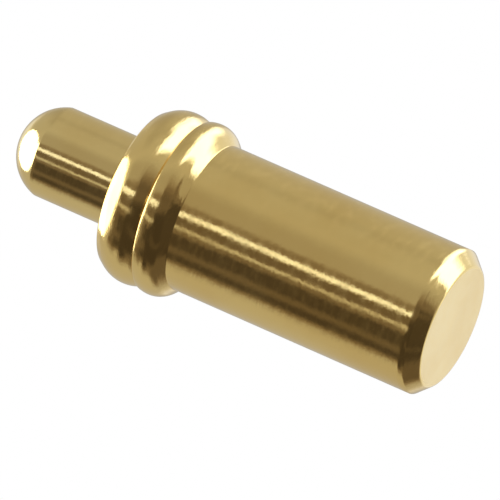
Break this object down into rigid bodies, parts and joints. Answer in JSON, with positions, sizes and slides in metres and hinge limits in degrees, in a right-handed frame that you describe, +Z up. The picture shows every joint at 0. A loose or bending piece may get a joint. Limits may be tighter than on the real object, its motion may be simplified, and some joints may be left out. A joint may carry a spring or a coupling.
{
  "type": "pogo pin",
  "caption": "Spring-loaded contact pin: a domed plunger slides in a turned, gold-plated barrel with beads round its mouth and a flat foot for soldering.",
  "frame": {"origin": "centre of the flat foot, on the surface that the pin stands on", "axes": "+Z up the pin's axis, from the foot to the plunger's tip; X and Y are alike, because the pin is turned"},
  "size_m": [0.002, 0.002, 0.0055],
  "materials": {
    "barrel_gold": "gold-plated turned brass, bright, with fine turning marks round the axis and light handling scratches",
    "plunger_gold": "gold-plated turned brass, bright, polished dome",
    "spring_wire": "drawn spring steel wire with a thin gold plating"
  },
  "bodies": {
    "barrel": {"barrel": "barrel_gold", "spring": "spring_wire"},
    "plunger": {"plunger": "plunger_gold"}
  },
  "joints": [
    {"name": "plunger_slide", "type": "slide", "parent": "barrel", "child": "plunger", "axis": [0, 0, 1], "range_m": [-0.0014, 0], "stiffness_N_per_m": 638, "springref_m": 0.0003, "deforming": ["spring"]}
  ]
}
